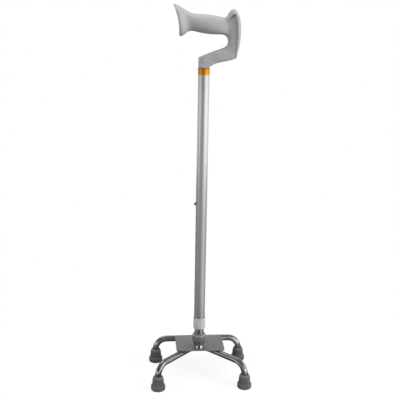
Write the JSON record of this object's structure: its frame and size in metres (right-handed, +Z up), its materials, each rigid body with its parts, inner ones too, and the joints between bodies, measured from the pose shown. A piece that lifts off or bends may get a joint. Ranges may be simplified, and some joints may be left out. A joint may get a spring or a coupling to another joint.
{
  "type": "quad cane",
  "caption": "Height-adjustable walking cane with a guarded palm handle, a telescoping tube with a snap button, and a small bent-tube base on rubber feet.",
  "frame": {"origin": "on the floor, midway between the four feet", "axes": "+Z up along the shaft, +X along the grip from its flared end to the upright, +Y towards the straight rear leg tube"},
  "size_m": [0.2078, 0.1516, 0.7457],
  "materials": {
    "handle_plastic": "moulded neutral grey, fine satin texture",
    "collar_plastic": "moulded pale grey, smooth",
    "nut_plastic": "moulded dark grey, semi-gloss",
    "nylon": "natural white",
    "shaft_aluminium": "satin anodised, drawn along the tube",
    "orange_aluminium": "orange anodised, bright",
    "chromed_tube": "dark bright chrome plate",
    "plate_steel": "dull grey, plated",
    "fastener_steel": "zinc plated",
    "spring_steel": "blued strip",
    "button_brass": "dull, dark",
    "foot_rubber": "moulded, matt dark grey"
  },
  "bodies": {
    "base": {"base_plate": "plate_steel", "plate_weld": "plate_steel", "stem": "chromed_tube", "stem_weld": "plate_steel", "shaft_bolt": "fastener_steel", "bolt_washer": "fastener_steel", "hub_collet": "nut_plastic", "rear_leg_tube": "chromed_tube", "front_leg_tube": "chromed_tube", "foot_front_left": "foot_rubber", "foot_front_right": "foot_rubber", "foot_rear_left": "foot_rubber", "foot_rear_right": "foot_rubber", "foot_disc_front_left": "fastener_steel", "foot_disc_front_right": "fastener_steel", "foot_disc_rear_left": "fastener_steel", "foot_disc_rear_right": "fastener_steel"},
    "nut": {"hub_nut": "nut_plastic"},
    "shaft": {"inner_tube": "chromed_tube", "guide_bush": "nylon", "shaft_plug": "nylon", "button_spring": "spring_steel"},
    "button": {"snap_button": "button_brass"},
    "upper": {"outer_tube": "shaft_aluminium", "collar_bush": "nylon", "orange_ring": "orange_aluminium", "handle": "handle_plastic", "handle_screw": "fastener_steel"},
    "collar": {"lock_collar": "collar_plastic"}
  },
  "joints": [
    {"name": "nut_turn", "type": "hinge", "parent": "base", "child": "nut", "pos_m": [-0.0015, -0.003, 0.0805], "axis": [0, 0, 1], "range_deg": [0, 180]},
    {"name": "shaft_swivel", "type": "hinge", "parent": "base", "child": "shaft", "pos_m": [-0.0015, -0.003, 0.0805], "axis": [0, 0, 1], "range_deg": [0, 180]},
    {"name": "button_press", "type": "slide", "parent": "shaft", "child": "button", "axis": [1, 0, 0], "range_m": [0, 0.0052], "stiffness_N_per_m": 2200, "deforming": ["button_spring"]},
    {"name": "height_slide", "type": "slide", "parent": "shaft", "child": "upper", "axis": [0, 0, 1], "range_m": [0, 0.15]},
    {"name": "collar_turn", "type": "hinge", "parent": "upper", "child": "collar", "pos_m": [-0.0015, -0.003, 0.116], "axis": [0, 0, 1], "range_deg": [0, 180]}
  ]
}
